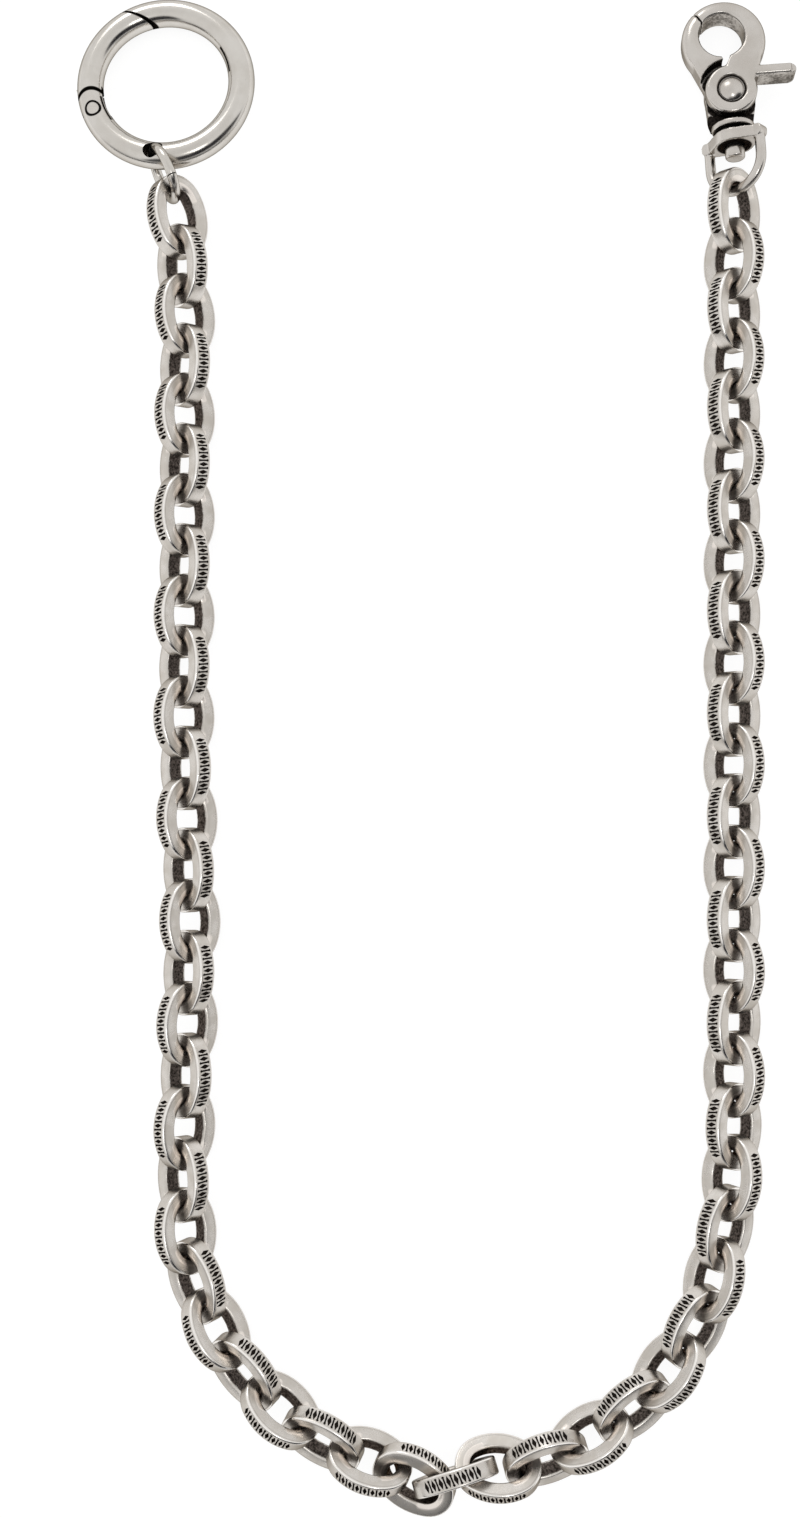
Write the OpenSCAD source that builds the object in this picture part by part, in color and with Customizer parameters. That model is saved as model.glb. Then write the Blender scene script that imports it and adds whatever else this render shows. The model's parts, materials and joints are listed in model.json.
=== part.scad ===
// Trouser chain: a spring-gate ring, a jump ring, a heavy oval link chain and a swivel trigger clasp,
// laid out in a long U on a flat surface. Millimetres, +Z up, the surface at z = 0.

/* [Link] */
// Length of one oval link
link_l = 17.0; // [16.8:0.1:17.4]
// Width of one oval link
link_w = 13.0; // [12.8:0.1:13.2]
// Radial width of the link's bar
bar_w = 2.75; // [2.5:0.05:2.85]
// Thickness of the link's bar
bar_t = 3.5; // [3.1:0.1:3.6]
// Outer radius of the link's round ends
link_end_r = 5.8; // [5.7:0.1:6.0]
// Chamfer along the bar's inner edges
bar_chamfer = 0.6; // [0.5:0.05:0.8]

/* [Spring ring] */
// Outside diameter of the big ring
ring_d = 36.7; // [36:0.1:37.5]
// Diameter of the ring's round wire
ring_wire_d = 5.4; // [5.2:0.1:5.6]
// Place of the gate's rivet round the ring, in degrees
ring_hinge_a = 203; // [200:1:206]
// Diameter of the gate's rivet
ring_pin_d = 2.8; // [2.4:0.1:3.0]
// Radius of the ring's rounded cheeks at the rivet
ring_cheek_r = 4.2; // [4.0:0.1:4.3]
// Thickness of the gate's tongue
ring_tongue_t = 1.7; // [1.4:0.1:1.8]
// Width of the drilled eyelet that takes the jump ring
eyelet_w = 3.1; // [3.0:0.1:3.2]
// How far the ring's chain side is raised, in degrees
ring_tilt = 5.8; // [5.6:0.1:6.2]

/* [Jump ring] */
// Middle diameter of the jump ring
jump_d = 10.6; // [10.4:0.1:10.8]
// Diameter of the jump ring's wire
jump_wire_d = 2.0; // [1.8:0.1:2.0]

/* [Trigger clasp] */
// Thickness of the clasp's body
clasp_t = 5.6; // [5.4:0.1:5.8]
// Outside radius of the hook
hook_r = 8.45; // [8.3:0.05:8.55]
// Radius of the hook's eye
eye_r = 4.55; // [4.4:0.05:4.7]
// Height of the hook's middle above the rivet
hook_y = 10.8; // [10.7:0.05:10.9]
// Radius of the hub round the rivet
hub_r = 5.2; // [5.1:0.05:5.25]
// Diameter of the clasp's rivet
clasp_rivet_d = 3.0; // [2.6:0.1:3.2]
// Reach of the thumb lever from the rivet
thumb_reach = 13.3; // [12:0.1:14]
// Diameter of the swivel post
post_d = 3.2; // [2.8:0.1:3.4]
// Diameter of the swivel post's head
post_head_d = 4.0; // [3.9:0.05:4.3]
// Outside width of the bail
bail_w = 14.1; // [13.8:0.1:14.4]
// Diameter of the bail's wire
bail_wire_d = 2.1; // [1.9:0.1:2.2]

/* [Layout] */
// Lean of each link from flat, left and right in turn
link_lean = 45; // [44:0.5:46]
// Lean of the jump ring from flat
jump_lean = 74; // [73:1:75]
// Lean of the bail from flat
bail_lean = 40; // [39:1:41]
// How far the clasp's chain side is raised, in degrees
clasp_tilt = 5.6; // [5.5:0.1:6.5]

/* [Hidden] */

// Fineness of round shapes
$fn = 64;
// Overlap that lets cuts pass a face
cut = 1;
// Reach of a cutting outline, well past the piece
far = 30;
// Small overlap that joins two pieces of one solid
sink = 0.1;
// Hair's breadth that keeps a rounded slot's straight sides
hair = 0.01;
// Running gap between pieces that turn on each other
gap = 0.3;
// Gap between a rivet and its bore
fit = 0.05;

// The frame's origin, seen from the middle of the picture of the layout
origin_x = 6.66;
origin_y = 4.28;

// Colours
plated = "silver";
worn = "darkgray";

// Route of the chain, from the ring round to the clasp. Each row is a run of links:
// links, pitch, bearing of the first step, turn at each link, skew of each link, roll, lift
FIRST_LINK = [-45.5, 110.8];
ROUTE = [
    [ 1, 10.20,  -82.5,  0.0,   0,   0, 0.0],
    [ 1, 10.20,  -84.0,  0.0,   0,   0, 0.0],
    [ 1, 10.20,  -86.5,  0.0,   0,   0, 0.0],
    [ 8, 10.24,  -89.8,  0.0,   0,   0, 0.0],
    [ 4, 10.24,  -88.0,  0.0,   0,   0, 0.0],
    [ 4, 10.24,  -91.2,  0.0,   0,   0, 0.0],
    [ 1, 10.20,  -91.3,  0.0,   3,   0, 0.0],
    [ 1, 10.20,  -87.0,  0.0,   3,   0, 0.0],
    [ 6, 10.10,  -77.2, 10.7,   0,  -4, 0.0],
    [ 1,  9.43,  -20.8,  0.0, -10, -22, 1.9],
    [ 1,  8.12,    6.5,  0.0,  11.5, -57, 0.5],
    [ 1,  8.48,   10.3,  0.0, -13, -85, 0.5],
    [ 1,  9.54,   11.7,  0.0,   8, -92, 0.1],
    [ 1,  9.84,   26.2,  0.0,   3, -95, 0.0],
    [ 4, 10.00,   35.0, 11.3,   0, -95, 0.0],
    [ 3, 10.00,   77.0,  5.0,   0, -93, 0.0],
    [18, 10.14,   89.5,  0.0,   0, -90, 0.0]];
LINKS_LEFT = 29;

// Reads the columns of the route
function run_links(r) = r[0];
function run_pitch(r) = r[1];
function run_bearing(r, k) = r[2] + k * r[3];
function run_heading(r, k) = run_bearing(r, k) + r[3] / 2 + r[4];
function run_roll(r) = r[5];
function run_lift(r) = r[6];

// One entry for each link: pitch, bearing of the step to it, heading, roll, lift
STEPS = [for (r = ROUTE) for (k = [0 : run_links(r) - 1])
    [run_pitch(r), run_bearing(r, k), run_heading(r, k), run_roll(r), run_lift(r)]];
LINKS = len(STEPS);

// Middle of each link in plan, one step after the last
PLACES = [for (i = 0, p = FIRST_LINK; i < LINKS; i = i + 1,
    p = i < LINKS ? p + STEPS[i][0] * [cos(STEPS[i][1]), sin(STEPS[i][1])] : p) p];

// Links lean left and right in turn
function lean(i) = (i % 2 == 0 ? -link_lean : link_lean) + STEPS[i][3];

// Height at which a link that leans by a rests on the surface
function rest_z(a) = link_w / 2 * abs(sin(a)) + bar_t / 2 * abs(cos(a));

// Oval link: side radius, and the angle where an end arc meets a side arc
link_reach = link_l / 2 - link_end_r;
link_side_r = (pow(link_reach, 2) + pow(link_w / 2, 2) - pow(link_end_r, 2)) / (link_w - 2 * link_end_r);
link_side_y = link_side_r - link_w / 2;
link_meet_a = atan2(link_side_y, link_reach);
END_STEPS = 5;
SIDE_STEPS = 3;
// Section of the link's bar: how far in from the outside, and the height
BAR = [[0, -bar_t / 2], [0, bar_t / 2], [bar_w - bar_chamfer, bar_t / 2], [bar_w, bar_t / 2 - bar_chamfer],
       [bar_w, bar_chamfer - bar_t / 2], [bar_w - bar_chamfer, -bar_t / 2]];

// Spring ring
ring_wire_r = ring_wire_d / 2;
ring_r = ring_d / 2 - ring_wire_r;
ring_place = [-48.3, 139.15, ring_wire_r + ring_r * sin(ring_tilt)];
ring_pin_r = ring_pin_d / 2;
ring_shoulder_r = ring_cheek_r + gap;
ring_tongue_r = 2.3;
ring_tongue_w = 3.6;
ring_tongue_sink = 1.5;
// The tongue's slot: how far it opens inwards, and back behind the rivet
slot_in = 3;
slot_back = 2.2;
// Outline of the slanted joint between nose and gate, from the outside in
SPLIT = [[-10.8, 15.5], [-8.4, 15.0], [-6.0, 14.15], [-3.3, 12.75], [-0.8, 11.2], [1.2, 9.9]];
split_gap = [0.16, 0.32];
// Groove round the gate's rivet: how wide, and how deep below the top of the wire
pin_groove_w = 0.26;
pin_groove_d = 0.5;
// Drilled eyelet: its place round the ring, its radius from the ring's middle and its direction
eyelet_a = 262.7;
eyelet_at = 15.3;
eyelet_len = 4.2;

// Jump ring: it starts in the eyelet and heads for the first link
jump_r = jump_d / 2;
jump_heading = -64;
eyelet_dir = [cos(eyelet_a), sin(eyelet_a) * cos(ring_tilt), -sin(eyelet_a) * sin(ring_tilt)];
eyelet_place = ring_place + eyelet_at * eyelet_dir;
jump_in = 0.5;
jump_up = 0.54;
jump_out = jump_r - jump_in;
jump_place = eyelet_place + [jump_out * cos(jump_heading), jump_out * sin(jump_heading), jump_up];

// Trigger clasp, with the rivet's middle as its own origin and the hook towards +Y
half_t = clasp_t / 2;
clasp_spin = 3;
clasp_place = [66.9, 134.6, half_t * cos(clasp_tilt) + (hook_y + hook_r) * sin(clasp_tilt)];
hook_x = -0.75;
hook_round = 1.9;
EYE = [-1.2, 11.6];
eye_chamfer = 0.4;
lap_gap = 0.15;
rivet_r = clasp_rivet_d / 2;
rivet_head_r = 2.4;
rivet_head_h = 0.95;
rivet_recess_r = 3.0;
rivet_recess = 0.5;
rivet_back_r = 2.2;
hub_chamfer = 0.45;
// Webs that carry each jaw down to its hub, and the chamfer along their edges
LEVER_WEB = [[0, 3], [5.1, 1.2], [6.9, 8.3], [6.9, 9.6], [4.1, 9.4], [0.3, 6.7], [-0.55, 5.15]];
FRAME_WEB = [[-8.2, 7.7], [-5.2, 1.0], [-1, 4], [-1, 5.25], [-1.6, 6.7], [-5.4, 8.95]];
web_chamfer = 0.8;
// Meeting lines of the two jaws: above the eye, and the notch below it
JAW_OUT = [-7.0, 17.4];
JAW_IN = [-4.1, 12.7];
jaw_gap = [0.25, 0.16];
NOTCH_FIXED = [-1.45, 6.9];
NOTCH_MOVING = [0.2, 6.9];
NOTCH_BASE = [-0.8, 5.25];
jaw_clear = 1.25;
// Lower body, along -Y: half widths of the back plate at the hub, at its waist and at the collar
collar_top = 7.0;
plate_waist_y = -5.7;
BACK_PLATE = [[-5.1, 0], [-4.7, plate_waist_y], [-4.2, -collar_top - sink], [4.1, -collar_top - sink],
              [4.3, plate_waist_y], [4.9, -2.5], [5.1, 0]];
collar_h = 1.1;
collar_r = 4.3;
boss_r = 2.6;
boss_h = 0.5;
bail_top = collar_top + collar_h + boss_h + gap;
bail_bar_h = 2.4;
bail_bar_t = 2.6;
bail_bar_round = 0.9;
bail_eye_r = 4.0;
bail_swell_x = 5.0;
post_head_top = bail_top + bail_bar_h + gap;
post_head_h = 2.4;
post_head_chamfer = 0.35;
bail_wire_r = bail_wire_d / 2;
bail_arm_x = bail_w / 2 - bail_wire_r;
bail_arm_y = bail_top + bail_bar_h / 2;
bail_bend_y = 14.55;
// Thumb lever
thumb_low = 2.6;
thumb_high = 4.7;
thumb_root = 4.6;
thumb_round = 0.6;
thumb_less = 0.2;

// A rectangle w by h about its middle, with corners of radius r
module round_rect(w, h, r) {
    square([w - 2 * r, h], center = true);
    square([w, h - 2 * r], center = true);
    for (x = [-1, 1]) for (y = [-1, 1])
        translate([x * (w / 2 - r), y * (h / 2 - r)]) circle(r);
}

// Points of an arc about c, from angle a to angle b in n steps, without the last
function arc(c, r, a, b, n) = [for (k = [0 : n - 1])
    let (t = a + (b - a) * k / n) c + r * [cos(t), sin(t)]];

// The link's four-arc oval, drawn in by d
function oval(d) = concat(
    arc([link_reach, 0], link_end_r - d, -link_meet_a, link_meet_a, END_STEPS),
    arc([0, -link_side_y], link_side_r - d, link_meet_a, 180 - link_meet_a, SIDE_STEPS),
    arc([-link_reach, 0], link_end_r - d, 180 - link_meet_a, 180 + link_meet_a, END_STEPS),
    arc([0, link_side_y], link_side_r - d, 180 + link_meet_a, 360 - link_meet_a, SIDE_STEPS));

// An oval link in the XY plane, its long axis on X
module link() {
    n = 2 * (END_STEPS + SIDE_STEPS);
    rows = len(BAR);
    polyhedron(
        points = [for (q = BAR) for (p = oval(q[0])) [p[0], p[1], q[1]]],
        faces = [for (k = [0 : rows - 1]) for (i = [0 : n - 1])
            let (j = (i + 1) % n, m = (k + 1) % rows) [k * n + i, m * n + i, m * n + j, k * n + j]]);
}

// Links first to last of the route, each turned to its heading and leaned about its long axis
module links(first, last) {
    for (i = [first : last])
        translate([PLACES[i][0], PLACES[i][1], rest_z(lean(i)) + STEPS[i][4]])
            rotate([0, 0, STEPS[i][2]]) rotate([lean(i), 0, 0]) link();
}

// Moves the layout to the frame's origin
module in_frame() {
    translate([-origin_x, -origin_y, 0]) children();
}

// Round bar bent to a circle of middle radius r
module hoop(r, wire_r) {
    rotate_extrude() translate([r, 0]) circle(wire_r);
}

// Places a spring ring piece in the layout
module at_ring() {
    in_frame() translate(ring_place) rotate([-ring_tilt, 0, 0]) children();
}

// The gate's rivet, with x towards the ring's middle and y along the gate
module at_ring_hinge() {
    rotate([0, 0, ring_hinge_a]) translate([ring_r, 0, 0]) rotate([0, 0, 180]) children();
}

// Area that the gate holds between its two joints, with the nose's edge moved by v
module gate_area(v) {
    polygon(concat([for (p = SPLIT) p + v],
        [[0, 0], ring_d * [cos(ring_hinge_a), sin(ring_hinge_a)], [-far, 0], [-far, far], [SPLIT[0][0] - cut, far]]));
}

// Slot between the cheeks, open towards the gate and the inside
module tongue_slot() {
    linear_extrude(ring_tongue_t + 2 * lap_gap, center = true) {
        circle(ring_tongue_r + gap);
        translate([-ring_tongue_w / 2 - gap, 0]) square([ring_tongue_w + slot_in, ring_shoulder_r + cut]);
        translate([0, -slot_back]) square([ring_tongue_w, ring_shoulder_r + slot_back]);
    }
}

module ring() {
    color(plated) at_ring() difference() {
        hoop(ring_r, ring_wire_r);
        // The gate's space, but not the rounded cheeks
        difference() {
            linear_extrude(ring_d, center = true) gate_area(split_gap);
            at_ring_hinge() cylinder(r = ring_cheek_r, h = ring_d, center = true);
        }
        at_ring_hinge() tongue_slot();
        at_ring_hinge() cylinder(r = ring_pin_r + fit, h = ring_d, center = true);
        at_ring_hinge() for (s = [0, 180]) rotate([s, 0, 0]) translate([0, 0, ring_wire_r - pin_groove_d])
            cylinder(r = ring_pin_r + pin_groove_w, h = ring_wire_r);
        // Eyelet for the jump ring
        rotate([0, 0, eyelet_a]) translate([eyelet_at, 0, 0]) rotate([0, 0, jump_heading - eyelet_a])
            linear_extrude(ring_d, center = true) round_rect(eyelet_w, eyelet_len, eyelet_w / 2 - hair);
    }
}

module ring_gate() {
    color(plated) at_ring() difference() {
        union() {
            difference() {
                intersection() {
                    hoop(ring_r, ring_wire_r);
                    linear_extrude(ring_d, center = true) gate_area([0, 0]);
                }
                at_ring_hinge() cylinder(r = ring_shoulder_r, h = ring_d, center = true);
            }
            // Tongue
            at_ring_hinge() linear_extrude(ring_tongue_t, center = true) {
                circle(ring_tongue_r);
                translate([-ring_tongue_w / 2, 0]) square([ring_tongue_w, ring_shoulder_r + ring_tongue_sink]);
            }
        }
        at_ring_hinge() cylinder(r = ring_pin_r + 2 * fit, h = ring_d, center = true);
    }
}

module ring_gate_pin() {
    color(plated) at_ring() intersection() {
        hoop(ring_r, ring_wire_r);
        at_ring_hinge() cylinder(r = ring_pin_r, h = ring_d, center = true);
    }
}

module jump_ring() {
    color(plated) in_frame() translate(jump_place)
        rotate([0, 0, jump_heading]) rotate([jump_lean, 0, 0]) hoop(jump_r, jump_wire_d / 2);
}

module chain_left() {
    color(worn) in_frame() links(0, LINKS_LEFT - 1);
}

module chain_right() {
    color(worn) in_frame() links(LINKS_LEFT, LINKS - 1);
}

// Places a clasp piece in the layout
module at_clasp() {
    in_frame() translate(clasp_place) rotate([0, 0, clasp_spin]) rotate([-clasp_tilt, 0, 0]) children();
}

// A round bar along -Y that starts at y = -top
module along_post(top, h, r1, r2) {
    translate([0, -top, 0]) rotate([90, 0, 0]) cylinder(r1 = r1, r2 = r2, h = h);
}

// A plate t thick with its edges chamfered by c, on a convex outline
module soft_plate(t, c) {
    hull() {
        linear_extrude(t - 2 * c, center = true) children();
        linear_extrude(t, center = true) offset(delta = -c) children();
    }
}

// The whole hook as a thick disc with a rounded rim and the drilled eye
module hook_blank() {
    difference() {
        translate([hook_x, hook_y, 0]) rotate_extrude() intersection() {
            round_rect(2 * hook_r, clasp_t, hook_round);
            translate([0, -clasp_t]) square([2 * hook_r, 2 * clasp_t]);
        }
        translate([EYE[0], EYE[1], 0]) {
            cylinder(r = eye_r, h = clasp_t + cut, center = true);
            for (s = [0, 180]) rotate([s, 0, 0]) translate([0, 0, half_t - eye_chamfer])
                cylinder(r1 = eye_r, r2 = eye_r + 2 * eye_chamfer, h = 2 * eye_chamfer);
        }
    }
}

// Fixed jaw's side of the two meeting lines
module fixed_area() {
    polygon([JAW_OUT, JAW_IN, EYE, NOTCH_FIXED, NOTCH_BASE, [0, 0], [-far, 0], [-far, far]]);
}

// Moving jaw's side of the two meeting lines
module moving_area() {
    polygon([JAW_OUT + jaw_gap, JAW_IN + jaw_gap, EYE, NOTCH_MOVING, NOTCH_BASE + [lap_gap, 0],
             [0, 0], [far, 0], [far, far], [JAW_OUT[0] + cut, far]]);
}

module clasp_frame() {
    lap = -lap_gap / 2;
    color(plated) at_clasp() difference() {
        union() {
            difference() {
                union() {
                    intersection() {
                        hook_blank();
                        linear_extrude(clasp_t, center = true) fixed_area();
                    }
                    soft_plate(clasp_t, web_chamfer) polygon(FRAME_WEB);
                }
                translate([0, 0, lap]) cylinder(r = hub_r + jaw_clear, h = clasp_t);
            }
            // Back plate
            translate([0, 0, -half_t]) {
                cylinder(r1 = hub_r - hub_chamfer, r2 = hub_r, h = hub_chamfer);
                translate([0, 0, hub_chamfer]) cylinder(r = hub_r, h = half_t + lap - hub_chamfer);
                linear_extrude(half_t + lap) polygon(BACK_PLATE);
            }
            // Collar, boss, swivel post and its head
            along_post(collar_top, collar_h, collar_r, collar_r);
            along_post(collar_top + collar_h - sink, boss_h + sink, boss_r, boss_r);
            along_post(collar_top, post_head_top - collar_top + sink, post_d / 2, post_d / 2);
            along_post(post_head_top, post_head_h - post_head_chamfer, post_head_d / 2, post_head_d / 2);
            along_post(post_head_top + post_head_h - post_head_chamfer, post_head_chamfer,
                post_head_d / 2, post_head_d / 2 - post_head_chamfer);
        }
        cylinder(r = rivet_r + fit, h = 2 * clasp_t, center = true);
        translate([0, 0, -half_t - cut]) cylinder(r = rivet_back_r + fit, h = cut + rivet_recess + fit);
    }
}

module clasp_lever() {
    lap = lap_gap / 2;
    color(plated) at_clasp() difference() {
        union() {
            difference() {
                union() {
                    intersection() {
                        hook_blank();
                        linear_extrude(clasp_t, center = true) moving_area();
                    }
                    soft_plate(clasp_t, web_chamfer) polygon(LEVER_WEB);
                    thumb();
                }
                translate([0, 0, lap - clasp_t]) cylinder(r = hub_r + gap, h = clasp_t);
            }
            // Front plate
            translate([0, 0, lap]) cylinder(r = hub_r, h = half_t - lap - hub_chamfer);
            translate([0, 0, half_t - hub_chamfer])
                cylinder(r1 = hub_r, r2 = hub_r - hub_chamfer, h = hub_chamfer);
        }
        cylinder(r = rivet_r + 2 * fit, h = 2 * clasp_t, center = true);
        translate([0, 0, half_t - rivet_recess]) cylinder(r = rivet_recess_r, h = cut);
    }
}

// Thumb lever: a bar with rounded edges and a round tip
module thumb() {
    mid_y = (thumb_low + thumb_high) / 2;
    tip_r = (thumb_high - thumb_low) / 2;
    thumb_t = clasp_t - thumb_less;
    translate([0, mid_y, 0]) {
        translate([thumb_root, 0, 0]) rotate([90, 0, 90]) linear_extrude(thumb_reach - tip_r - thumb_root)
            round_rect(2 * tip_r, thumb_t, thumb_round);
        translate([thumb_reach - tip_r, 0, 0])
            cylinder(r = tip_r, h = thumb_t - 2 * thumb_round, center = true);
    }
}

module clasp_rivet() {
    base = half_t - rivet_recess + lap_gap;
    sphere_r = (pow(rivet_head_r, 2) + pow(rivet_head_h, 2)) / (2 * rivet_head_h);
    color(plated) at_clasp() {
        translate([0, 0, -half_t]) cylinder(r = rivet_r, h = half_t + base);
        translate([0, 0, -half_t]) cylinder(r = rivet_back_r, h = rivet_recess);
        intersection() {
            translate([0, 0, base + rivet_head_h - sphere_r]) sphere(sphere_r);
            translate([0, 0, base]) cylinder(r = rivet_head_r + cut, h = rivet_head_h + cut);
        }
    }
}

module clasp_bail() {
    color(plated) at_clasp() rotate([0, -bail_lean, 0]) difference() {
        union() {
            // Cross bar, and the swollen middle that the post turns in
            translate([0, -bail_top - bail_bar_h / 2, 0]) linear_extrude(bail_bar_t, center = true)
                round_rect(bail_w, bail_bar_h, bail_bar_round);
            hull() {
                along_post(bail_top, bail_bar_h, bail_eye_r, bail_eye_r);
                for (x = [-1, 1]) translate([x * bail_swell_x, 0, 0])
                    along_post(bail_top, bail_bar_h, bail_bar_t / 2, bail_bar_t / 2);
            }
            for (x = [-1, 1]) translate([x * bail_arm_x, 0, 0])
                along_post(bail_arm_y, bail_bend_y - bail_arm_y, bail_wire_r, bail_wire_r);
            translate([0, -bail_bend_y, 0]) rotate([0, 0, 180]) rotate_extrude(angle = 180)
                translate([bail_arm_x, 0]) circle(bail_wire_r);
        }
        along_post(bail_top - cut, bail_bar_h + 2 * cut, post_d / 2 + lap_gap, post_d / 2 + lap_gap);
    }
}

ring();
ring_gate();
ring_gate_pin();
jump_ring();
chain_left();
chain_right();
clasp_bail();
clasp_frame();
clasp_rivet();
clasp_lever();
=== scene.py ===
import json
import math

import bpy
import numpy as np
from mathutils import Matrix, Vector
from mathutils.geometry import delaunay_2d_cdt


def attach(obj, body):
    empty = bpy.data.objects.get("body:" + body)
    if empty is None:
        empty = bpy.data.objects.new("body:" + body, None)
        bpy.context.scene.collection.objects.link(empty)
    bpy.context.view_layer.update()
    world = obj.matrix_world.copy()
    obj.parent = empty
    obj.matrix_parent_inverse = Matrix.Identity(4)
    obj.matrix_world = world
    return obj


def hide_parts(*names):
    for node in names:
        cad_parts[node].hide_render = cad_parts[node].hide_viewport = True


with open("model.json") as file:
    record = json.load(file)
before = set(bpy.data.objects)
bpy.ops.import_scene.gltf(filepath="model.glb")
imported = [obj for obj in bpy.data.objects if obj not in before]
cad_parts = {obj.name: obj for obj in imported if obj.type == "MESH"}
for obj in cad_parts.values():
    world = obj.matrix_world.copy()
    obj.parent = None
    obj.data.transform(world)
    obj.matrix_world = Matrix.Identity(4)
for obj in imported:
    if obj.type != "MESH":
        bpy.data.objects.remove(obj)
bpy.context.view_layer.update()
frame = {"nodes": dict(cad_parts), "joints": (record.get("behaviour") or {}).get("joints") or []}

mm = 0.001
joints = {joint["name"]: joint for joint in frame["joints"]}
print("frame loaded", len(frame["nodes"]), "nodes")


# an sRGB hex colour as linear light, by the standard's own numbers
def hexToLinear(text):
    channels = [int(text[i:i + 2], 16) / 255 for i in (1, 3, 5)]
    return [c / 12.92 if c <= 0.04045 else ((c + 0.055) / 1.055) ** 2.4 for c in channels] + [1.0]


# adds one node with its settings, joins or sets its inputs, in order or by name, and gives the output asked for
def addNode(tree, kind, inputs=(), output=0, **settings):
    node = tree.nodes.new("ShaderNode" + kind)
    for name, value in settings.items():
        setattr(node, name, value)
    pairs = inputs.items() if isinstance(inputs, dict) else enumerate(inputs)
    for key, value in pairs:
        if isinstance(value, bpy.types.NodeSocket):
            tree.links.new(value, node.inputs[key])
        else:
            node.inputs[key].default_value = value
    return node.outputs[output]


# one mask from several: where all of them hold, or with join="MAXIMUM" where any does. A mask given as a value and
# two numbers is a smooth step, 0 at the first number and 1 at the second.
def maskOf(tree, *masks, join="MULTIPLY"):
    joined = None
    for mask in masks:
        if isinstance(mask, tuple):
            mask = addNode(tree, "MapRange", mask, interpolation_type="SMOOTHSTEP")
        joined = mask if joined is None else addNode(tree, "Math", (joined, mask), operation=join)
    return joined


# 1 within a half width of a value, 0 beyond, with a soft border
def nearTo(tree, value, middle, half, soft=0.08):
    offset = addNode(tree, "Math", (value, middle), operation="SUBTRACT")
    distance = addNode(tree, "Math", (offset,), operation="ABSOLUTE")
    return maskOf(tree, (distance, half + soft, half - soft))


# the parts of a place, in mm, along axes through a middle
def alongAxes(tree, middle, axes):
    where = addNode(tree, "TexCoord", output="Object")
    offset = addNode(tree, "VectorMath", (where, middle), operation="SUBTRACT")
    return [addNode(tree, "VectorMath", (offset, axis / mm), "Value", operation="DOT_PRODUCT") for axis in axes]


# how far a place is from an axis, from its parts across it
def fromAxis(tree, across, along):
    squares = [addNode(tree, "Math", (part, part), operation="MULTIPLY") for part in (across, along)]
    total = addNode(tree, "Math", squares, operation="ADD")
    return addNode(tree, "Math", (total,), operation="SQRT")


# camera: nearly straight down on the laid-out chain, as in the photograph, in mm
cameraLook = {"place": (14.04, -24.98, 400.72), "target": (-6.66, -4.28, 5.8), "lens": 46.96, "sensorHeight": 36,
              "clipStart": 10}
cameraData = bpy.data.cameras.new("camera")
cameraData.sensor_fit = "VERTICAL"
cameraData.sensor_height = cameraLook["sensorHeight"]
cameraData.lens = cameraLook["lens"]
cameraData.clip_start = cameraLook["clipStart"] * mm
camera = bpy.data.objects.new("camera", cameraData)
bpy.context.scene.collection.objects.link(camera)
cameraPlace = Vector(cameraLook["place"]) * mm
backward = (cameraPlace - Vector(cameraLook["target"]) * mm).normalized()
rightward = Vector((0, 1, 0)).cross(backward).normalized()
upward = backward.cross(rightward)
cameraRows = [(rightward[i], upward[i], backward[i], cameraPlace[i]) for i in range(3)]
camera.matrix_world = Matrix(cameraRows + [(0, 0, 0, 1)])
bpy.context.scene.camera = camera
bpy.context.scene.view_settings.view_transform = "Standard"  # keeps the ground's plain white
print("camera placed")

# how every silvered piece is mottled; four numbers are a range of the pattern and the range that it gives
silverLook = {"grainDetail": 5.0, "grainRough": 0.62, "cloudDetail": 3.0, "cloudRough": 0.5, "fineShare": 0.4,
              "fineDetail": 2.0, "uneven": (0.3, 0.7, 0.75, 1.2), "pitFade": 0.1, "mottle": (0.38, 0.68),
              "tint": (0.35, 0.65), "satin": (0.3, 0.7), "satinLess": 0.04, "satinMore": 0.06, "reliefDepth": 0.02,
              "recessAndShadeSamples": 8}
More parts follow.
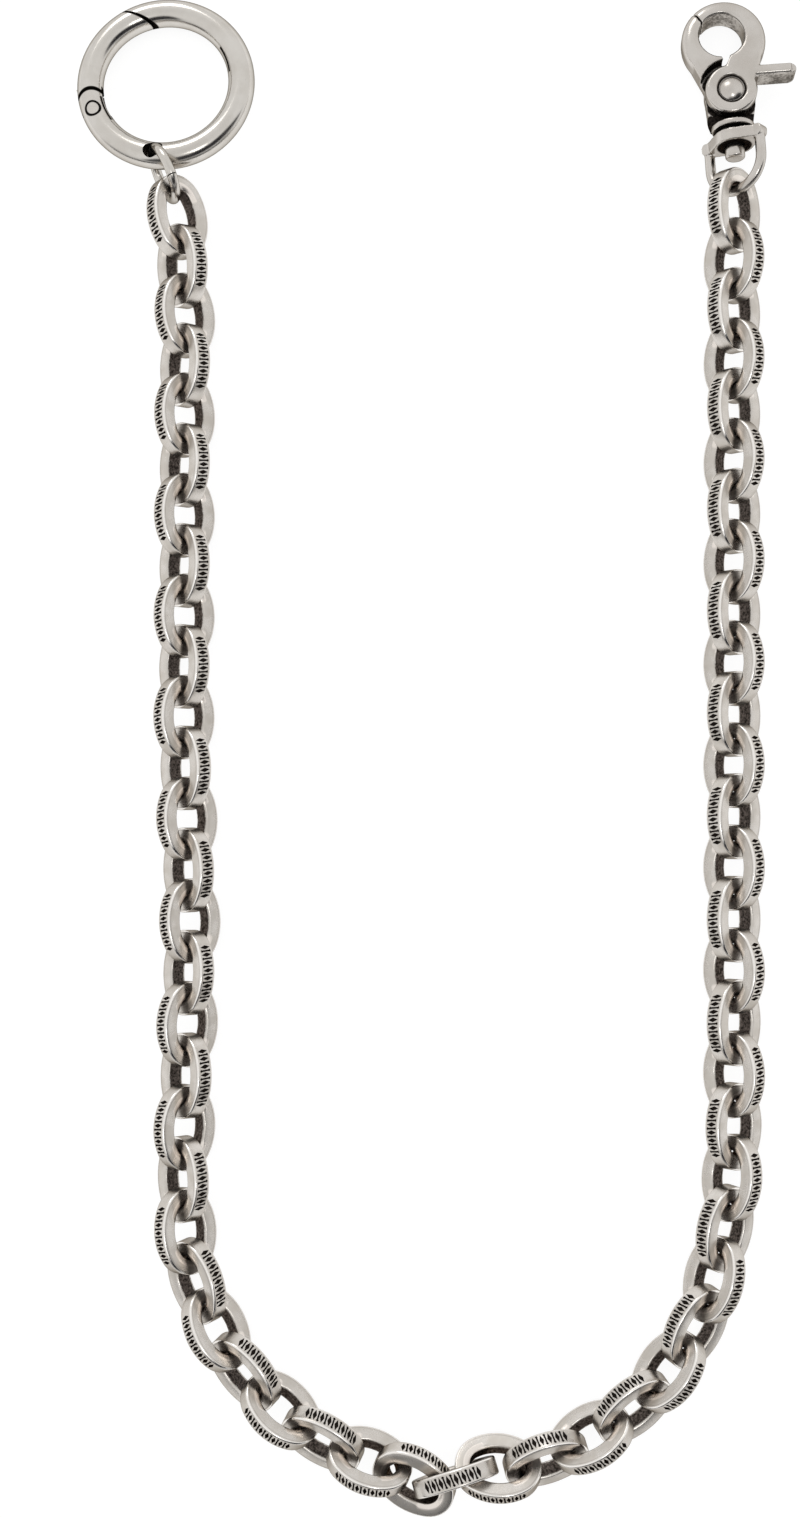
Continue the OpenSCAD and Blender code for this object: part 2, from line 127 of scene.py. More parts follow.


# Brass with antique silver plate: bright and a little warm where it was polished, black-brown oxide where the wheel
# did not reach, and the same dark as painted shade where other parts or the floor come near. The real polish marks
# are finer than the render shows, so the grain is drawn at half a millimetre.
def antiqueSilver(name, look, oxideAndShadeFrom, polishAndHighlightFrom=None, facetFrom=None, cutFrom=None):
    s = silverLook
    material = bpy.data.materials.new(name)
    material.use_nodes = True
    tree = material.node_tree
    shader = tree.nodes["Principled BSDF"]
    shader.inputs["Metallic"].default_value = 1.0
    shader.inputs["Specular Tint"].default_value = hexToLinear(look["edge"])  # tarnish dulls the glancing edges
    where = addNode(tree, "TexCoord", output="Object")
    grain = addNode(tree, "TexNoise", {"Vector": where, "Scale": 1 / (look["grain"] * mm),
                                       "Detail": s["grainDetail"], "Roughness": s["grainRough"]}, "Fac")
    cloud = addNode(tree, "TexNoise", {"Vector": where, "Scale": 1 / (look["cloud"] * mm),
                                       "Detail": s["cloudDetail"], "Roughness": s["cloudRough"]}, "Fac")
    # oxide in every narrow recess, painted shade in the same dark where other parts or the floor come near, and the
    # piece's own marks
    openness = addNode(tree, "AmbientOcclusion", {"Distance": look["recessAndShadeReach"] * mm}, "AO",
                       samples=s["recessAndShadeSamples"])
    recessOxideAndShade = addNode(tree, "MapRange", (openness, *look["recessAndShadeRange"], 1.0, 0.0), interpolation_type="SMOOTHSTEP")
    uneven = addNode(tree, "MapRange", (cloud, *s["uneven"]))
    oxideAndShade = addNode(tree, "Math", (recessOxideAndShade, uneven), operation="MULTIPLY", use_clamp=True)
    oxideAndShade = maskOf(tree, oxideAndShade, oxideAndShadeFrom(tree, grain, cloud), join="MAXIMUM")
    # small dark pits that the polish left
    pits = addNode(tree, "MapRange", (grain, look["pitFrom"], look["pitFrom"] + s["pitFade"], 0.0, look["pit"]))
    oxideAndShade = addNode(tree, "Math", (oxideAndShade, pits), operation="ADD", use_clamp=True)
    # oxide and painted shade are mottled alike, from black to a worn grey-brown, and stay black in a cut
    mottle = addNode(tree, "MapRange", (grain, *s["mottle"]))
    if cutFrom:
        cut = cutFrom(tree)
        mottle = addNode(tree, "Math", (mottle, cut), operation="SUBTRACT", use_clamp=True)
        oxideAndShade = maskOf(tree, oxideAndShade, cut, join="MAXIMUM")
    dark = addNode(tree, "Mix", {0: mottle, 6: hexToLinear(look["oxideAndShade"]), 7: hexToLinear(look["oxideAndShadeWorn"])}, 2,
                   data_type="RGBA")
    tint = addNode(tree, "MapRange", (cloud, *s["tint"]))
    bright = addNode(tree, "Mix", {0: tint, 6: hexToLinear(look["plate"]), 7: hexToLinear(look["plateWarm"])}, 2,
                     data_type="RGBA")
    # satin on the polished metal, dull on the oxide and on the painted shade
    rough = addNode(tree, "MapRange", (cloud, *s["satin"], look["rough"] - s["satinLess"],
                                       look["rough"] + s["satinMore"]))
    # where the corners rub: less roughness, and a near-white painted highlight
    if polishAndHighlightFrom:
        polishedAndHighlit = polishAndHighlightFrom(tree)
        bright = addNode(tree, "Mix", {0: polishedAndHighlit, 6: bright, 7: hexToLinear(look["rubbedAndHighlight"])}, 2, data_type="RGBA")
        rough = addNode(tree, "Mix", {0: polishedAndHighlit, 2: rough, 3: look["polish"]})
    if facetFrom:
        bright = addNode(tree, "Mix", {0: facetFrom(tree), 6: bright, 7: hexToLinear(look["facet"])}, 2,
                         data_type="RGBA")
    # the dark colour goes on the oxide and on the painted shade
    colour = addNode(tree, "Mix", {0: oxideAndShade, 6: bright, 7: dark}, 2, data_type="RGBA")
    tree.links.new(colour, shader.inputs["Base Color"])
    rough = addNode(tree, "Mix", {0: oxideAndShade, 2: rough, 3: look["oxideRough"]})
    tree.links.new(rough, shader.inputs["Roughness"])
    fine = addNode(tree, "TexNoise", {"Vector": where, "Scale": 1 / (look["grain"] * s["fineShare"] * mm),
                                      "Detail": s["fineDetail"]}, "Fac")
    relief = addNode(tree, "Math", (grain, fine), operation="ADD")
    surface = addNode(tree, "Bump", {"Height": relief, "Strength": look["relief"],
                                     "Distance": s["reliefDepth"] * mm}, "Normal")
    tree.links.new(surface, shader.inputs["Normal"])
    return material


# gives a CAD node its metal
def plateNode(name, metal):
    mesh = frame["nodes"][name].data
    mesh.materials.clear()
    mesh.materials.append(metal)


# the fittings' plate: buffed to a soft mirror, with deep black oxide and painted shade at the joints. Grain, cloud
# and the darkening's reach are in mm.
fittingLook = {"plate": "#D5D1CB", "plateWarm": "#CBC6BF", "oxideAndShade": "#0B0A09", "oxideAndShadeWorn": "#24201D",
               "edge": "#8A857D", "rough": 0.17, "oxideRough": 0.55, "grain": 0.5, "cloud": 5.0, "recessAndShadeReach": 2.2,
               "recessAndShadeRange": (0.3, 0.66), "pitFrom": 0.66, "pit": 0.25, "relief": 0.12}
flatAxes = (Vector((1, 0, 0)), Vector((0, 1, 0)))

# In the looks below, in mm, a pair is a place, or where a mask is 0 and 1, or a middle and a half width, and a third
# number is the border's softness.
# The jump ring's wire meets itself in a fine cut: its place, the wire's way there, and how far the cut reaches.
jumpLook = {"cut": (-53.0, 113.3), "wireWay": (0.39, -0.92), "line": (0, 0.11, 0.05), "reach": (0, 1.5),
            "above": (3.4, 3.8)}


def jumpOxide(tree, grain, cloud):
    wireWay = Vector((*jumpLook["wireWay"], 0)).normalized()
    cutPlace = Vector((*jumpLook["cut"], 0)) * mm
    axes = (wireWay, Vector((-wireWay.y, wireWay.x, 0)), Vector((0, 0, 1)))
    along, across, height = alongAxes(tree, cutPlace, axes)
    return maskOf(tree, nearTo(tree, along, *jumpLook["line"]), nearTo(tree, across, *jumpLook["reach"]),
                  (height, *jumpLook["above"]))


# drawn brass wire, plated and polished: an even gleam along the wire
plateNode("jump_ring", antiqueSilver("brass_drawn_wire_antique_silver_plate_polished", fittingLook, jumpOxide))

# the ring's joints: its gate ends in an arc round the pin, and in a slanted seam that is part of a wide circle
ringLook = {"middle": (-54.96, 134.87), "pin": (1.48, 0.25), "shoulder": (4.4, 0.44), "shoulderSide": (0.5, 1.5),
            "slotAcross": (2.2, 1.2), "slotAlong": (0.6, 3.9), "slotHeight": (0, 1.15), "tongue": (13.45, 0.18),
            "tongueAlong": (-0.6, 2.9), "tongueAbove": (0, 0.5), "seamMiddle": (-69.38, 127.75),
            "seamRadius": 23.11, "seamHalf": 0.3, "seamGrowth": 0.03, "seamGrowthFrom": 8.0,
            "seamBorder": (0.08, -0.08), "seamAcross": (0.0, 1.0), "seamAlong": (10.0, 14.0)}
pinUp = Vector(joints["gate_hinge"]["axis"]).normalized()
pinPlace = Vector(joints["gate_hinge"]["pos_m"])
if pinUp.z < 0:
    pinUp = -pinUp
ringMiddle = Vector((*ringLook["middle"], 0)) * mm
inward = Vector((ringMiddle.x - pinPlace.x, ringMiddle.y - pinPlace.y, 0)).normalized()
gateward = pinUp.cross(inward)


# oxide and painted shade, black, in the ring's seams and round the gate's pin
def ringOxideAndShade(tree, grain, cloud):
    look = ringLook
    across, along, height = alongAxes(tree, pinPlace, (inward, gateward, pinUp))
    fromPin = fromAxis(tree, across, along)
    pinGroove = nearTo(tree, fromPin, *look["pin"])
    shoulder = maskOf(tree, nearTo(tree, fromPin, *look["shoulder"]), (along, *look["shoulderSide"]))
    slot = maskOf(tree, nearTo(tree, across, *look["slotAcross"]), nearTo(tree, along, *look["slotAlong"]),
                  nearTo(tree, height, *look["slotHeight"]))
    # the gate's tongue shows as a black line of oxide and painted shade along the ring's inner side
    fromMiddle = fromAxis(tree, *alongAxes(tree, ringMiddle, flatAxes))
    tongue = maskOf(tree, nearTo(tree, fromMiddle, *look["tongue"]), nearTo(tree, along, *look["tongueAlong"]),
                    (height, *look["tongueAbove"]))
    # the seam is a little wider at its inner end
    across, along = alongAxes(tree, Vector((*look["seamMiddle"], 0)) * mm, flatAxes)
    beyond = addNode(tree, "Math", (across, look["seamGrowthFrom"]), operation="SUBTRACT")
    half = addNode(tree, "Math", (beyond, look["seamGrowth"], look["seamHalf"]), operation="MULTIPLY_ADD")
    offset = addNode(tree, "Math", (fromAxis(tree, across, along), look["seamRadius"]), operation="SUBTRACT")
    distance = addNode(tree, "Math", (offset,), operation="ABSOLUTE")
    outside = addNode(tree, "Math", (distance, half), operation="SUBTRACT")
    seam = maskOf(tree, (outside, *look["seamBorder"]), (across, *look["seamAcross"]), (along, *look["seamAlong"]))
    return maskOf(tree, pinGroove, shoulder, slot, tongue, seam, join="MAXIMUM")


# cast brass, plated and buffed: broad soft reflections, as in a bright tent
ringMetal = antiqueSilver("brass_cast_antique_silver_plate_ring", fittingLook, ringOxideAndShade)
for name in ("ring", "ring_gate", "ring_gate_pin"):
    plateNode(name, ringMetal)

# the clasp's own axes come from its joints: along the post, and up through the rivet
claspLook = {"plate": dict(fittingLook, plate="#CDC8C2", plateWarm="#C2BCB5", oxideAndShade="#12100F", oxideAndShadeWorn="#37312D",
                           rough=0.22),
             "cell": 0.2, "passes": 5, "ragged": 0.8, "recessTop": (-4.4, -4.6), "recessLow": (-7.2, -7.0),
             "recessHigh": (3.5, 3.2), "pastHub": (5.22, 5.35), "hubWall": (4.6, 4.7), "hubWallHigh": (2.35, 2.2),
             "groove": (2.72, 0.2), "lapHeight": (0.3, 0.15), "lapReach": (6.2, 5.8), "eye": (-1.2, 11.6),
             "bore": (4.55, 0.2), "finFrom": (5.4, 5.8), "finUnder": (2.85, 2.7), "patches": (0.92, 1.2, 0.05, 0.7)}
rivetUp = Vector(joints["lever_hinge"]["axis"]).normalized()
postAlong = Vector(joints["clasp_swivel"]["axis"]).normalized()
rivetPlace = Vector(joints["lever_hinge"]["pos_m"])
claspAxes = (postAlong.cross(rivetUp), postAlong, rivetUp)


# oxide and painted shade, black, in the slot under the hub, between the lapped plates and round the rivet's head
def claspOxideAndShade(tree, grain, cloud):
    look = claspLook
    across, along, height = alongAxes(tree, rivetPlace, claspAxes)
    fromRivet = fromAxis(tree, across, along)
    uneven = addNode(tree, "Math", (grain, 0.5), operation="SUBTRACT")
    ragged = addNode(tree, "Math", (uneven, look["ragged"], along), operation="MULTIPLY_ADD")
    hubWall = maskOf(tree, (fromRivet, *look["hubWall"]), (height, *look["hubWallHigh"]))
    besideHub = maskOf(tree, (fromRivet, *look["pastHub"]), hubWall, join="MAXIMUM")
    slot = maskOf(tree, (ragged, *look["recessTop"]), (ragged, *look["recessLow"]), (height, *look["recessHigh"]),
                  besideHub)
    groove = nearTo(tree, fromRivet, *look["groove"])
    level = addNode(tree, "Math", (height,), operation="ABSOLUTE")
    lapped = maskOf(tree, (level, *look["lapHeight"]), (fromRivet, *look["lapReach"]))
    # the bored eye kept patches of oxide, and the fin's lower face has patches of painted shade
    eyeParts = [addNode(tree, "Math", pair, operation="SUBTRACT") for pair in zip((across, along), look["eye"])]
    mixed = addNode(tree, "Math", (grain, cloud), operation="ADD")
    patches = addNode(tree, "MapRange", (mixed, *look["patches"]))
    bore = maskOf(tree, nearTo(tree, fromAxis(tree, *eyeParts), *look["bore"]), patches)
    fin = maskOf(tree, (across, *look["finFrom"]), (along, *look["finUnder"]), patches)
    return maskOf(tree, slot, groove, lapped, bore, fin, join="MAXIMUM")


bailLook = {"plate": claspLook["plate"], "cell": 0.16, "passes": 6, "under": (-11.3, 0.2), "swell": (3.7, 3.3)}


# oxide and painted shade, black, under the bail's swollen middle, where the post turns
def bailOxideAndShade(tree, grain, cloud):
    across, along, height = alongAxes(tree, rivetPlace, claspAxes)
    return maskOf(tree, nearTo(tree, along, *bailLook["under"]),
                  (fromAxis(tree, across, height), *bailLook["swell"]))


# cast brass, plated and tumbled: a little greyer and duller than the ring, with brown-black oxide and painted shade
# in its slots
plateNode("clasp_bail", antiqueSilver("brass_cast_antique_silver_plate_bail", bailLook["plate"], bailOxideAndShade))
claspMetal = antiqueSilver("brass_cast_antique_silver_plate_clasp", claspLook["plate"], claspOxideAndShade)
for name in ("clasp_frame", "clasp_rivet", "clasp_lever"):
    plateNode(name, claspMetal)

# cast edges: the clasp's pieces are remade from fine cells, in mm, and smoothed, which rounds every edge a little
for name, look in {"clasp_frame": claspLook, "clasp_lever": claspLook, "clasp_bail": bailLook}.items():
    node = frame["nodes"][name]
    remesh = node.modifiers.new("fineCells", "REMESH")
    remesh.mode = "VOXEL"
    remesh.voxel_size = look["cell"] * mm
    remesh.use_smooth_shade = True
    smooth = node.modifiers.new("softEdges", "SMOOTH")
    smooth.iterations = look["passes"]
print("fittings finished")

# the links: bars of flat section bent to an oval, engraved along both long outer sides, in mm
linkLook = {
    "shape": {"length": 17.0, "width": 13.0, "endRadius": 5.8, "bar": 2.9, "thickness": 3.5, "outerRound": 0.42,
              "roundSteps": 6, "chamferSide": (0.3, 0.3), "chamferEnd": (0.95, 0.28), "chamferFrom": 2.8,
              "chamferGrowth": 1.8, "flatRow": 0.35, "sideRow": 0.4, "wallRow": 0.3, "turnNear": 0.05,
              "turnFar": 0.94, "flatLead": 0.08, "wallLead": 0.06, "endSteps": 20, "sideSteps": 16, "crease": 60},
    "band": {"pitch": 1.56, "marks": 7, "half": 1.2, "bar": 0.18, "foot": 0.32, "footHeight": 0.96, "lozenge": 0.45,
             "slant": 0.12, "depth": 0.14, "strip": 6.4, "closeness": 1e-6},
    "plate": {"plate": "#D5D0CA", "plateWarm": "#C8C2BA", "rubbedAndHighlight": "#F6F2ED", "facet": "#F0E8E0",
              "oxideAndShade": "#211D1A", "oxideAndShadeWorn": "#7A706A", "edge": "#8F8981", "rough": 0.27, "polish": 0.14,
              "oxideRough": 0.5, "grain": 0.45, "cloud": 3.0, "recessAndShadeReach": 1.6, "recessAndShadeRange": (0.12, 0.52),
              "pitFrom": 0.66, "pit": 0.25, "relief": 0.16},
    "wear": {"ragged": 0.9, "inside": (4.9, 5.2), "shadeHairline": (2.12, 0.05, 0.06), "shadeHairlineShare": 0.4,
             "corner": (1.66, 0.2, 0.12), "facet": (3.84, 0.62), "facetEnds": (3.4, 4.2), "facetShare": 0.85}}


# a place on a link's bar: how far along the nearest long side and how far round from the bar's outer middle, in mm,
# and 1 on the walls and floors of the engraving
def linkPlace(tree):
    place = addNode(tree, "Attribute", output="Vector", attribute_name="barPlace")
    return addNode(tree, "SeparateXYZ", (place,)).node.outputs


# the distance round the bar from its outer middle, to either side
def roundBar(tree):
    return addNode(tree, "Math", (linkPlace(tree)[1],), operation="ABSOLUTE")


# the inside of every link kept its oxide, with a ragged border where the polish began, and a painted shade
# hairline by the corner
def innerOxideAndShadeLine(tree, grain, cloud):
    wear = linkLook["wear"]
    distance = roundBar(tree)
    ragged = addNode(tree, "Math", (grain, wear["ragged"], distance), operation="MULTIPLY_ADD")
    shadeHairline = maskOf(tree, nearTo(tree, distance, *wear["shadeHairline"]), wear["shadeHairlineShare"])
    return maskOf(tree, (ragged, *wear["inside"]), shadeHairline, join="MAXIMUM")


# the rounded outer corners rub smoother, and a painted highlight makes them bright
def cornerPolishAndHighlight(tree):
    return nearTo(tree, roundBar(tree), *linkLook["wear"]["corner"])


# the inner chamfer's flats near the link ends, drawn lighter and warmer
def paleEndFacets(tree):
    wear = linkLook["wear"]
    distance = addNode(tree, "Math", (linkPlace(tree)[0],), operation="ABSOLUTE")
    return maskOf(tree, nearTo(tree, roundBar(tree), *wear["facet"]), (distance, *wear["facetEnds"]),
                  wear["facetShare"])


# the engraving stays black
def cutBlack(tree):
    return linkPlace(tree)[2]


# cast brass, plated, blackened and rubbed back: satin flats, corners bright with a painted highlight, and dark cuts
# and inner sides
linkMetal = antiqueSilver("brass_cast_antique_silver_plate_engraved", linkLook["plate"], innerOxideAndShadeLine, cornerPolishAndHighlight,
                          paleEndFacets, cutBlack)


# the link's four-arc oval: each arc's middle, radius, first and last angle, and steps
def ovalArcs():
    s = linkLook["shape"]
    reach = s["length"] / 2 - s["endRadius"]
    sideRadius = (reach ** 2 + (s["width"] / 2) ** 2 - s["endRadius"] ** 2) / (s["width"] - 2 * s["endRadius"])
    drop = sideRadius - s["width"] / 2
    meet = math.atan2(drop, reach)
    return [((reach, 0), s["endRadius"], -meet, meet, s["endSteps"]),
            ((0, -drop), sideRadius, meet, math.pi - meet, s["sideSteps"]),
            ((-reach, 0), s["endRadius"], math.pi - meet, math.pi + meet, s["endSteps"]),
            ((0, drop), sideRadius, math.pi + meet, 2 * math.pi - meet, s["sideSteps"])]


# the point of the oval a distance along its outside, drawn in by a depth and set at a height
def onOval(travel, depth, height):
    arcs = ovalArcs()
    travel %= sum(radius * (last - first) for _, radius, first, last, _ in arcs)
    for centre, radius, first, last, _ in arcs:
        if travel <= radius * (last - first):
            break
        travel -= radius * (last - first)
    angle = first + travel / radius
    return (centre[0] + (radius - depth) * math.cos(angle), centre[1] + (radius - depth) * math.sin(angle), height)


# half section of the bar from its outer middle to its inner middle: depth in from the outside, and height.
# The inner corner's chamfer is wide along the flat and deep down the inner wall, and turns softly at both ends.
def halfSection(wide, deep):
    s = linkLook["shape"]
    half, r, near, far = s["thickness"] / 2, s["outerRound"], s["turnNear"], s["turnFar"]
    angles = np.linspace(0, math.pi / 2, s["roundSteps"])
    corner = [(r * (1 - math.cos(t)), half - r * (1 - math.sin(t))) for t in angles]
    return [(0, 0), (0, half * s["sideRow"])] + corner + [
        (s["bar"] * s["flatRow"], half), (s["bar"] - wide - s["flatLead"], half),
        (s["bar"] - wide * far, half - deep * near), (s["bar"] - wide * near, half - deep * far),
        (s["bar"], half - deep - s["wallLead"]), (s["bar"], half * s["wallRow"])]


# outlines of the engraved marks, as distance along the side and height: upright bars with pointed feet, with a
# tall lozenge between each two, all leaning a little
def bandOutlines():
    b = linkLook["band"]
    flare = b["foot"] - b["bar"]
    edge = [(b["bar"], -b["half"]), (b["bar"], -b["footHeight"] - flare), (b["foot"], -b["footHeight"]),
            (b["bar"], flare - b["footHeight"]), (b["bar"], b["footHeight"] - flare), (b["foot"], b["footHeight"]),
            (b["bar"], b["footHeight"] + flare), (b["bar"], b["half"])]
    bar = edge + [(-x, z) for x, z in reversed(edge)]
    lozenge = [(b["lozenge"], 0), (0, b["half"]), (-b["lozenge"], 0), (0, -b["half"])]
    return [[(x + k * b["pitch"] / 2 - z * b["slant"], z) for x, z in (lozenge if k % 2 else bar)]
            for k in range(-b["marks"], b["marks"] + 1)]


# one link's corner points, faces, and the bar place of each face corner
def linkMesh():
    s, band = linkLook["shape"], linkLook["band"]
    travels, total = [], 0.0
    for _, radius, first, last, steps in ovalArcs():
        travels += [total + radius * (last - first) * k / steps for k in range(steps)]
        total += radius * (last - first)
    count = len(travels)
    tip = travels[s["endSteps"]] / 2
    along = [(travel - tip) % total for travel in travels]
    sideMiddles = [total / 4, total * 3 / 4]
    # rings of points round the bar, with the chamfer growing towards the link's ends
    verts, rows = [], []
    for i in range(count):
        fromSide = min(abs(along[i] - middle) for middle in sideMiddles)
        blend = min(max((fromSide - s["chamferFrom"]) / s["chamferGrowth"], 0), 1)
        blend = blend * blend * (3 - 2 * blend)
        half = halfSection(*(a + (b - a) * blend for a, b in zip(s["chamferSide"], s["chamferEnd"])))
        rows = half + [(d, -z) for d, z in half[:0:-1]]
        verts += [onOval(travels[i], d, z) for d, z in rows]
    size = len(rows)
    section = np.array(halfSection(*s["chamferEnd"]))
    section = np.concatenate([section, section[:0:-1] * (1, -1)])
    around = np.concatenate([[0], np.cumsum(np.hypot(*np.diff(section, axis=0).T))])
    closing = around[-1] + math.hypot(*(section[0] - section[-1]))
    around = np.append(around, closing)
    faces, places = [], []
    openRows = (0, 1, size - 2, size - 1)
    for i in range(count):
        j = (i + 1) % count
        a0, a1 = along[i], along[i] + (along[j] - along[i]) % total
        middle = min(sideMiddles, key=lambda m: abs((a0 + a1) / 2 - m))
        banded = max(abs(a0 - middle), abs(a1 - middle)) < band["strip"]
        for k in range(size):
            if banded and k in openRows:
                continue
            m = (k + 1) % size
            v0, v1 = around[k], around[k + 1]
            if (v0 + v1) / 2 > closing / 2:
                v0, v1 = v0 - closing, v1 - closing
            faces.append((i * size + k, j * size + k, j * size + m, i * size + m))
            places.append(((a0 - middle, v0, 0), (a1 - middle, v0, 0), (a1 - middle, v1, 0), (a0 - middle, v1, 0)))
    # each long outer side is filled again between its rings, with the marks let in
    row = s["thickness"] / 2 * s["sideRow"]
    edgeHeight = s["thickness"] / 2 - s["outerRound"]
    rims = [(size - 1, -row), (0, 0.0), (1, row)]
    for middle in sideMiddles:
        rings = [i for i in range(count) if abs(along[i] - middle) < band["strip"]]
        rings.sort(key=lambda i: along[i])
        first, last = rings[0], rings[-1]
        border = [(i, size - 2, -edgeHeight) for i in rings] + [(last, k, z) for k, z in rims]
        border += [(i, 2, edgeHeight) for i in reversed(rings)] + [(first, k, z) for k, z in reversed(rims)]
        points = [(along[i] - middle, z) for i, k, z in border]
        top = [i * size + k for i, k, z in border]
        bottom = list(top)
        outlines = [list(range(len(points)))]
        for shape in bandOutlines():
            outlines.append(list(range(len(points), len(points) + len(shape))))
            for x, z in shape:
                points.append((x, z))
                top.append(len(verts))
                bottom.append(len(verts) + 1)
                verts += [onOval(middle + tip + x, depth, z) for depth in (0, band["depth"])]
        # kind 1 of its results holds the triangles within the outlines, each with the outlines that own it
        cells = delaunay_2d_cdt([Vector(point) for point in points], [], outlines, 1, band["closeness"])
        source = [found[0] for found in cells[3]]
        inCut = {}
        for cell, owners in zip(cells[2], cells[5]):
            corners = [source[v] for v in cell]
            cut = any(owner > 0 for owner in owners)
            faces.append(tuple((bottom if cut else top)[v] for v in corners))
            places.append(tuple((*points[v], float(cut)) for v in corners))
            for a, b in zip(corners, corners[1:] + corners[:1]):
                inCut[a, b] = cut
        # walls stand where a cut cell meets one that isn't
        for (a, b), cut in inCut.items():
            if cut and inCut.get((b, a)) is False:
                faces.append((top[a], top[b], bottom[b], bottom[a]))
                places.append(tuple((*points[v], 1.0) for v in (a, b, b, a)))
    used = sorted({v for face in faces for v in face})
    renumber = {old: new for new, old in enumerate(used)}
    faces = [tuple(renumber[v] for v in face) for face in faces]
    return np.array([verts[v] for v in used]), faces, [corner for face in places for corner in face]


# splits a node's mesh into its loose solids, each as its corner points in mm, which are joined again where they meet
def looseParts(node):
    corners = np.array([v.co for v in node.data.vertices]) / mm
    keys, index = np.unique(np.round(corners, 3), axis=0, return_inverse=True)
    index = index.ravel()
    owner = np.arange(len(keys))
    triangles = np.array([[index[v] for v in p.vertices] for p in node.data.polygons])
    changed = True
    while changed:
        before = owner.copy()
        lowest = owner[triangles].min(axis=1)
        for column in range(3):
            np.minimum.at(owner, triangles[:, column], lowest)
        owner = owner[owner]
        changed = not np.array_equal(before, owner)
    return [keys[owner == k] for k in np.unique(owner)]


# adds a mesh, from points in mm, that rides on a body
def addPiece(name, verts, faces, places, metal, body):
    mesh = bpy.data.meshes.new(name)
    mesh.from_pydata((verts * mm).tolist(), [], faces)
    mesh.materials.append(metal)
    mesh.set_sharp_from_angle(angle=math.radians(linkLook["shape"]["crease"]))  # keeps the engraving's rims crisp
    layer = mesh.attributes.new("barPlace", "FLOAT_VECTOR", "CORNER")
    layer.data.foreach_set("vector", np.asarray(places, dtype=np.float32).ravel())
    piece = bpy.data.objects.new(name, mesh)
    bpy.context.scene.collection.objects.link(piece)
    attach(piece, body)
    return piece


# turns a direction so that its largest part is positive, which settles a principal axis's sign
def settled(axis):
    return axis if axis[np.argmax(np.abs(axis))] > 0 else -axis


baseVerts, baseFaces, basePlaces = linkMesh()
for side in ("left", "right"):
    verts, faces, places = [], [], []
    for solid in looseParts(frame["nodes"]["chain_" + side]):
        middle = solid.mean(axis=0)
        _, axes = np.linalg.eigh(np.cov((solid - middle).T))
        longAxis, wideAxis = settled(axes[:, 2]), settled(axes[:, 1])
        turn = np.stack([longAxis, wideAxis, np.cross(longAxis, wideAxis)])
        faces += [tuple(v + len(baseVerts) * len(verts) for v in face) for face in baseFaces]
        verts.append(baseVerts @ turn + middle)
        places.append(basePlaces)
    links = addPiece("links_" + side, np.concatenate(verts), faces, np.concatenate(places), linkMetal, "chain")
    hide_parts("chain_" + side)
    print("links", side, len(verts), "made")

# floor: a backlit white table, in metres
stageLook = {"card": "#707070", "cardRough": 0.9, "glow": 0.9, "glowColour": "#FFFFFF", "size": 3.0}
# matt white card lit from below: an even white without a grain
cardMaterial = bpy.data.materials.new("paper_white_card_backlit")
cardMaterial.use_nodes = True
cardShader = cardMaterial.node_tree.nodes["Principled BSDF"]
cardShader.inputs["Base Color"].default_value = hexToLinear(stageLook["card"])
cardShader.inputs["Roughness"].default_value = stageLook["cardRough"]
cardShader.inputs["Emission Color"].default_value = hexToLinear(stageLook["glowColour"])
cardShader.inputs["Emission Strength"].default_value = stageLook["glow"]
reach = stageLook["size"] / 2
cardMesh = bpy.data.meshes.new("floor")
cardCorners = [(-reach, -reach, 0), (reach, -reach, 0), (reach, reach, 0), (-reach, reach, 0)]
cardMesh.from_pydata(cardCorners, [], [(0, 1, 2, 3)])
cardMesh.materials.append(cardMaterial)
floor = bpy.data.objects.new("floor", cardMesh)
bpy.context.scene.collection.objects.link(floor)

# light: a white tent with a dark gap in front and a dark edge where it meets the table. The levels of light and the
# heights are shares of full light and of straight up, and a pair is where a mask is 0 and 1.
tentLook = {"strength": 1.0, "foot": (0.22, 0.22, 0.225), "top": (0.84, 0.84, 0.84),
            "levels": ((0.12, 0.33), (0.26, 0.64), (0.42, 0.92), (0.62, 0.97), (0.82, 0.93), (0.92, 0.89)),
            "walls": (0.93, 0.93, 0.93), "wallAside": (0.35, 0.7), "wallBehind": (0.4, 0.8),
            "dark": (0.02, 0.02, 0.024), "gapTowards": (0.5, -0.87), "gapAhead": (0.39, 0.54),
            "gapTop": (0.83, 0.71), "gapLow": (0.24, 0.42), "edgeAhead": (-0.25, -0.6), "edgeTop": (0.32, 0.14),
            "edgeShare": 0.85}
world = bpy.data.worlds.new("studio")
bpy.context.scene.world = world
world.use_nodes = True
sky = world.node_tree
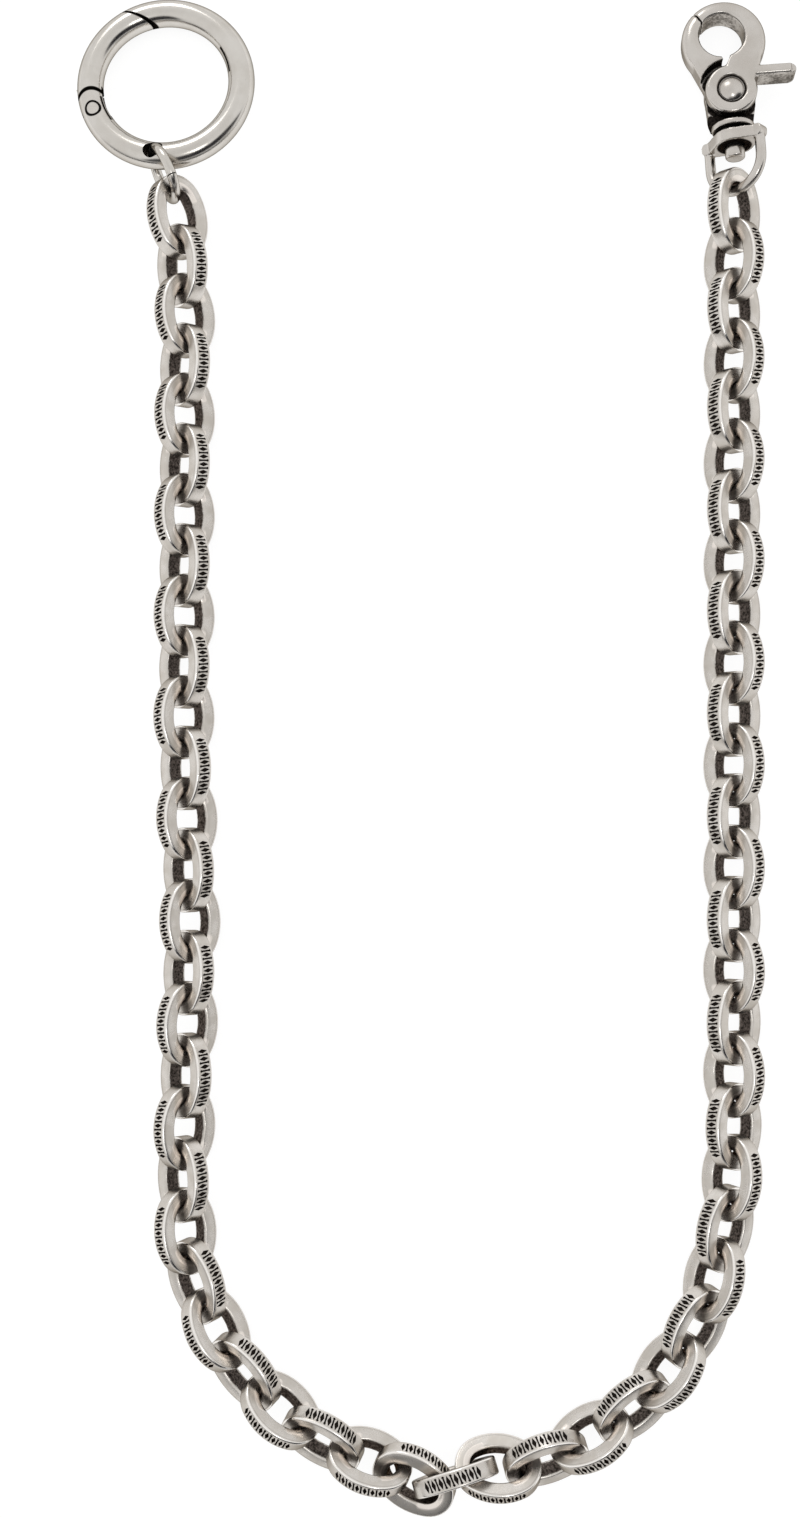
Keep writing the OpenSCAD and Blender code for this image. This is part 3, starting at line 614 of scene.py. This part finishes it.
towards = addNode(sky, "SeparateXYZ", (addNode(sky, "TexCoord", output="Generated"),)).node.outputs
tent = addNode(sky, "ValToRGB", (towards["Z"],))
stops = tent.node.color_ramp.elements
stops[0].color = (*tentLook["foot"], 1)
stops[1].color = (*tentLook["top"], 1)
for position, level in tentLook["levels"]:
    stops.new(position).color = (level, level, level, 1)
ahead = addNode(sky, "Math", (towards["Y"], tentLook["gapTowards"][1]), operation="MULTIPLY")
ahead = addNode(sky, "Math", (towards["X"], tentLook["gapTowards"][0], ahead), operation="MULTIPLY_ADD")
gap = maskOf(sky, (ahead, *tentLook["gapAhead"]), (towards["Z"], *tentLook["gapTop"]),
             (towards["Z"], *tentLook["gapLow"]))
edge = maskOf(sky, (towards["Y"], *tentLook["edgeAhead"]), (towards["Z"], *tentLook["edgeTop"]),
              tentLook["edgeShare"])
aside = addNode(sky, "Math", (towards["X"],), operation="ABSOLUTE")
walls = maskOf(sky, (aside, *tentLook["wallAside"]), (towards["Y"], *tentLook["wallBehind"]), join="MAXIMUM")
lit = addNode(sky, "Mix", {0: walls, 6: tent, 7: (*tentLook["walls"], 1)}, 2, data_type="RGBA")
shade = addNode(sky, "Mix", {0: maskOf(sky, gap, edge, join="MAXIMUM"), 6: lit, 7: (*tentLook["dark"], 1)}, 2,
                data_type="RGBA")
sky.links.new(shade, sky.nodes["Background"].inputs["Color"])
sky.nodes["Background"].inputs["Strength"].default_value = tentLook["strength"]

# lamps: place and size in metres, power in watts
lamps = {"key": {"place": (-0.25, 0.85, 0.45), "size": 0.35, "power": 0.9},
         "fill": {"place": (0.25, -0.3, 0.95), "size": 0.2, "power": 0.5}}
for name, lamp in lamps.items():
    light = bpy.data.lights.new(name, "AREA")
    light.size = lamp["size"]
    light.energy = lamp["power"]
    lightObject = bpy.data.objects.new(name, light)
    lightObject.location = lamp["place"]
    lightObject.rotation_euler = (-Vector(lamp["place"])).to_track_quat("-Z", "Y").to_euler()
    bpy.context.scene.collection.objects.link(lightObject)
print("stage lit")
